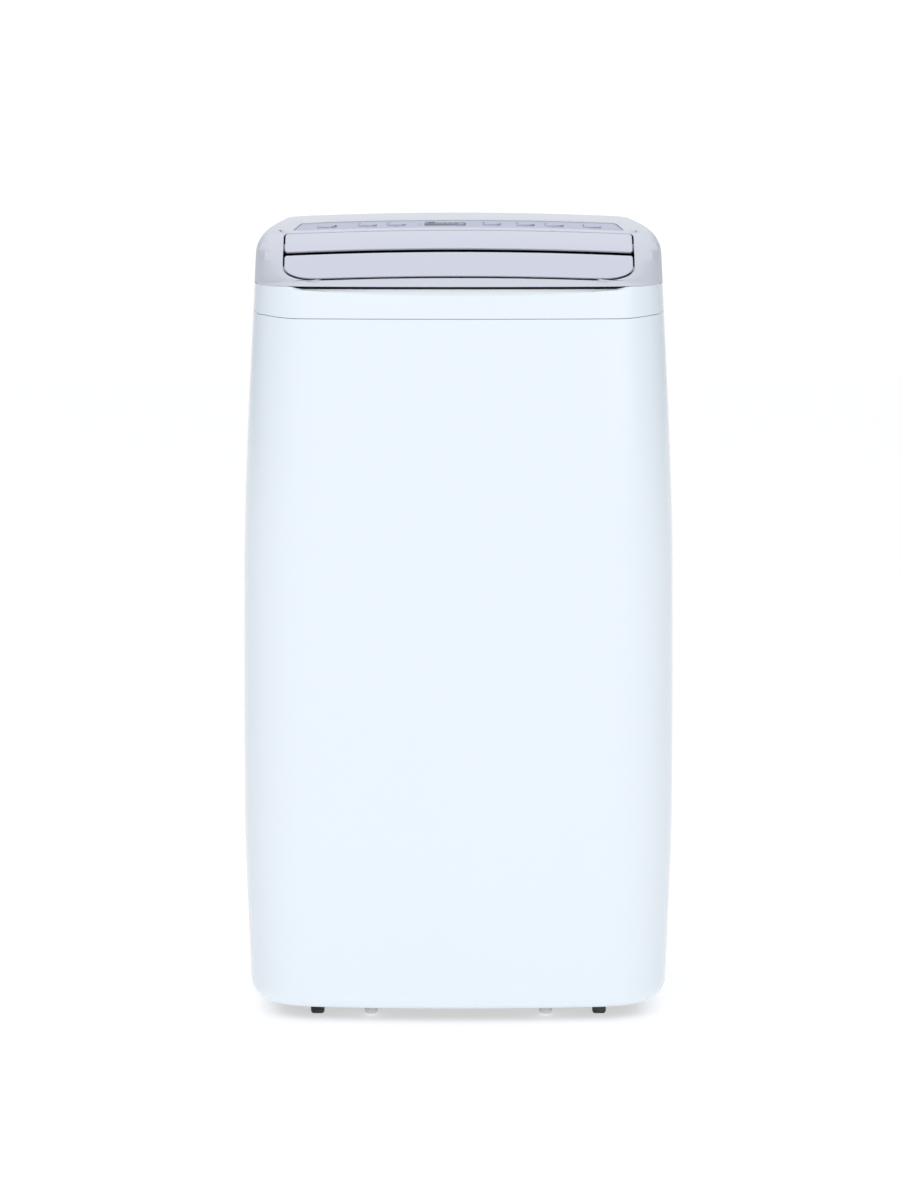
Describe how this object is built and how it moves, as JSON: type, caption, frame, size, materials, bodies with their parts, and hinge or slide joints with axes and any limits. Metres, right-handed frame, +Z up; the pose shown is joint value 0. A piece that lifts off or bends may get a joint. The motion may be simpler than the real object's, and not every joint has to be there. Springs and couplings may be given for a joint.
{
  "type": "portable air conditioner",
  "caption": "Floor-standing room air conditioner on casters: tall bowed shell, sloped top outlet with tilting louvres, push-button strip, rear filter doors and hose collar.",
  "frame": {"origin": "on the floor, under the middle of the bounding box", "axes": "+Z up, front panel and outlet face -Y, +X to the right seen from the front"},
  "size_m": [0.4298, 0.3847, 0.781],
  "materials": {
    "shell_white": "satin gloss cool white",
    "cover_grey": "fine satin pale blue-grey",
    "louvre_grey": "fine satin pale blue-grey",
    "strip_lilac": "satin pale lilac-grey film",
    "key_lilac": "satin",
    "display": "smoked gloss",
    "duct_black": "matt black",
    "grille_white": "satin",
    "filter_mesh": "woven nylon mesh",
    "tray_grey": "matt dark grey",
    "caster_black": "satin black nylon",
    "tyre_black": "matt",
    "glide_clear": "milky",
    "rubber_grey": "matt",
    "steel": "zinc plated",
    "compressor_black": "semi-gloss black paint",
    "coil_fins": "bare fins",
    "motor_case": "grey paint"
  },
  "bodies": {
    "chassis": {"base_tray": "tray_grey", "front_panel": "shell_white", "left_panel": "shell_white", "right_panel": "shell_white", "back_panel": "shell_white", "top_cover": "cover_grey", "control_fascia": "strip_lilac", "display_window": "display", "outlet_duct": "duct_black", "louvre_motor": "steel", "exhaust_collar": "tray_grey", "drain_spout_upper": "grille_white", "drain_spout_lower": "grille_white", "cord_inlet": "rubber_grey", "handle_left": "cover_grey", "handle_right": "cover_grey", "glide_left": "glide_clear", "glide_right": "glide_clear", "compressor": "compressor_black", "compressor_mount": "steel", "condenser_coil": "coil_fins", "evaporator_coil": "coil_fins", "upper_fan_housing": "tray_grey", "upper_fan_motor": "motor_case", "lower_fan_housing": "tray_grey", "lower_fan_motor": "motor_case", "exhaust_duct": "tray_grey", "partition_tray": "tray_grey"},
    "lower_louvre": {"louvre_lower": "louvre_grey"},
    "upper_louvre": {"louvre_upper": "louvre_grey"},
    "tie_bar": {"louvre_link": "duct_black"},
    "fin_bar": {"fin_link": "duct_black"},
    "upper_door": {"intake_grille_upper": "grille_white", "filter_upper": "filter_mesh"},
    "lower_door": {"intake_grille_lower": "grille_white", "filter_lower": "filter_mesh"},
    "upper_plug": {"drain_plug_upper": "rubber_grey"},
    "lower_plug": {"drain_plug_lower": "rubber_grey"},
    "evaporator_fan": {"upper_fan_wheel": "duct_black"},
    "condenser_fan": {"lower_fan_wheel": "duct_black"},
    "fin_1": {"swing_fin_1": "duct_black"},
    "fin_2": {"swing_fin_2": "duct_black"},
    "fin_3": {"swing_fin_3": "duct_black"},
    "fin_4": {"swing_fin_4": "duct_black"},
    "fin_5": {"swing_fin_5": "duct_black"},
    "key_1": {"button_1": "key_lilac"},
    "key_2": {"button_2": "key_lilac"},
    "key_3": {"button_3": "key_lilac"},
    "key_4": {"button_4": "key_lilac"},
    "key_5": {"button_5": "key_lilac"},
    "key_6": {"button_6": "key_lilac"},
    "key_7": {"button_7": "key_lilac"},
    "fork_front_left": {"caster_fork_front_left": "caster_black"},
    "wheel_front_left": {"caster_wheel_front_left": "tyre_black"},
    "fork_front_right": {"caster_fork_front_right": "caster_black"},
    "wheel_front_right": {"caster_wheel_front_right": "tyre_black"},
    "fork_rear_left": {"caster_fork_rear_left": "caster_black"},
    "wheel_rear_left": {"caster_wheel_rear_left": "tyre_black"},
    "fork_rear_right": {"caster_fork_rear_right": "caster_black"},
    "wheel_rear_right": {"caster_wheel_rear_right": "tyre_black"}
  },
  "joints": [
    {"name": "louvre_tilt", "type": "hinge", "parent": "chassis", "child": "lower_louvre", "pos_m": [0, -0.1604, 0.73303], "axis": [-1, 0, 0], "range_deg": [0, 50]},
    {"name": "upper_louvre_tilt", "type": "hinge", "parent": "chassis", "child": "upper_louvre", "pos_m": [0, -0.14166, 0.75341], "axis": [-1, 0, 0], "range_deg": [0, 50]},
    {"name": "tie_bar_pivot", "type": "hinge", "parent": "lower_louvre", "child": "tie_bar", "pos_m": [-0.18, -0.1514, 0.73303], "axis": [-1, 0, 0], "range_deg": [-50, 0]},
    {"name": "fin_bar_slide", "type": "slide", "parent": "chassis", "child": "fin_bar", "axis": [1, 0, 0], "range_m": [-0.0061, 0.0061]},
    {"name": "fin_1_swing", "type": "hinge", "parent": "chassis", "child": "fin_1", "pos_m": [-0.132, -0.1135, 0.716], "axis": [0, 0.6972, 0.7169], "range_deg": [-35.2, 35.2]},
    {"name": "fin_2_swing", "type": "hinge", "parent": "chassis", "child": "fin_2", "pos_m": [-0.066, -0.1135, 0.716], "axis": [0, 0.6972, 0.7169], "range_deg": [-35.2, 35.2]},
    {"name": "fin_3_swing", "type": "hinge", "parent": "chassis", "child": "fin_3", "pos_m": [0, -0.1135, 0.716], "axis": [0, 0.6972, 0.7169], "range_deg": [-35.2, 35.2]},
    {"name": "fin_4_swing", "type": "hinge", "parent": "chassis", "child": "fin_4", "pos_m": [0.066, -0.1135, 0.716], "axis": [0, 0.6972, 0.7169], "range_deg": [-35.2, 35.2]},
    {"name": "fin_5_swing", "type": "hinge", "parent": "chassis", "child": "fin_5", "pos_m": [0.132, -0.1135, 0.716], "axis": [0, 0.6972, 0.7169], "range_deg": [-35.2, 35.2]},
    {"name": "button_1_press", "type": "slide", "parent": "chassis", "child": "key_1", "axis": [0, 0.1375, -0.9905], "range_m": [0, 0.001], "stiffness_N_per_m": 400, "springref_m": -0.0005},
    {"name": "button_2_press", "type": "slide", "parent": "chassis", "child": "key_2", "axis": [0, 0.1375, -0.9905], "range_m": [0, 0.001], "stiffness_N_per_m": 400, "springref_m": -0.0005},
    {"name": "button_3_press", "type": "slide", "parent": "chassis", "child": "key_3", "axis": [0, 0.1375, -0.9905], "range_m": [0, 0.001], "stiffness_N_per_m": 400, "springref_m": -0.0005},
    {"name": "button_4_press", "type": "slide", "parent": "chassis", "child": "key_4", "axis": [0, 0.1375, -0.9905], "range_m": [0, 0.001], "stiffness_N_per_m": 400, "springref_m": -0.0005},
    {"name": "button_5_press", "type": "slide", "parent": "chassis", "child": "key_5", "axis": [0, 0.1375, -0.9905], "range_m": [0, 0.001], "stiffness_N_per_m": 400, "springref_m": -0.0005},
    {"name": "button_6_press", "type": "slide", "parent": "chassis", "child": "key_6", "axis": [0, 0.1375, -0.9905], "range_m": [0, 0.001], "stiffness_N_per_m": 400, "springref_m": -0.0005},
    {"name": "button_7_press", "type": "slide", "parent": "chassis", "child": "key_7", "axis": [0, 0.1375, -0.9905], "range_m": [0, 0.001], "stiffness_N_per_m": 400, "springref_m": -0.0005},
    {"name": "upper_door_hinge", "type": "hinge", "parent": "chassis", "child": "upper_door", "pos_m": [0, 0.1775, 0.474], "axis": [-1, 0, 0], "range_deg": [0, 75]},
    {"name": "lower_door_hinge", "type": "hinge", "parent": "chassis", "child": "lower_door", "pos_m": [0, 0.1775, 0.078], "axis": [-1, 0, 0], "range_deg": [0, 75]},
    {"name": "upper_plug_pull", "type": "slide", "parent": "chassis", "child": "upper_plug", "axis": [0, 1, 0], "range_m": [0, 0.02]},
    {"name": "lower_plug_pull", "type": "slide", "parent": "chassis", "child": "lower_plug", "axis": [0, 1, 0], "range_m": [0, 0.02]},
    {"name": "evaporator_fan_spin", "type": "hinge", "parent": "chassis", "child": "evaporator_fan", "pos_m": [0, -0.0875, 0.57], "axis": [0, 1, 0], "continuous": true},
    {"name": "condenser_fan_spin", "type": "hinge", "parent": "chassis", "child": "condenser_fan", "pos_m": [0.07, -0.0205, 0.18], "axis": [0, 1, 0], "continuous": true},
    {"name": "front_left_swivel", "type": "hinge", "parent": "chassis", "child": "fork_front_left", "pos_m": [-0.139, -0.1255, 0.04], "axis": [0, 0, 1], "continuous": true},
    {"name": "front_left_roll", "type": "hinge", "parent": "fork_front_left", "child": "wheel_front_left", "pos_m": [-0.139, -0.1335, 0.014], "axis": [1, 0, 0], "continuous": true},
    {"name": "front_right_swivel", "type": "hinge", "parent": "chassis", "child": "fork_front_right", "pos_m": [0.139, -0.1255, 0.04], "axis": [0, 0, 1], "continuous": true},
    {"name": "front_right_roll", "type": "hinge", "parent": "fork_front_right", "child": "wheel_front_right", "pos_m": [0.139, -0.1335, 0.014], "axis": [1, 0, 0], "continuous": true},
    {"name": "rear_left_swivel", "type": "hinge", "parent": "chassis", "child": "fork_rear_left", "pos_m": [-0.139, 0.1185, 0.04], "axis": [0, 0, 1], "continuous": true},
    {"name": "rear_left_roll", "type": "hinge", "parent": "fork_rear_left", "child": "wheel_rear_left", "pos_m": [-0.139, 0.1105, 0.014], "axis": [1, 0, 0], "continuous": true},
    {"name": "rear_right_swivel", "type": "hinge", "parent": "chassis", "child": "fork_rear_right", "pos_m": [0.139, 0.1185, 0.04], "axis": [0, 0, 1], "continuous": true},
    {"name": "rear_right_roll", "type": "hinge", "parent": "fork_rear_right", "child": "wheel_rear_right", "pos_m": [0.139, 0.1105, 0.014], "axis": [1, 0, 0], "continuous": true}
  ],
  "couplings": [
    {"joint": "upper_louvre_tilt", "follows": "louvre_tilt", "ratio": 1},
    {"joint": "tie_bar_pivot", "follows": "louvre_tilt", "ratio": -1},
    {"joint": "fin_1_swing", "follows": "fin_bar_slide", "rad_per_m": -100},
    {"joint": "fin_2_swing", "follows": "fin_bar_slide", "rad_per_m": -100},
    {"joint": "fin_3_swing", "follows": "fin_bar_slide", "rad_per_m": -100},
    {"joint": "fin_4_swing", "follows": "fin_bar_slide", "rad_per_m": -100},
    {"joint": "fin_5_swing", "follows": "fin_bar_slide", "rad_per_m": -100}
  ]
}
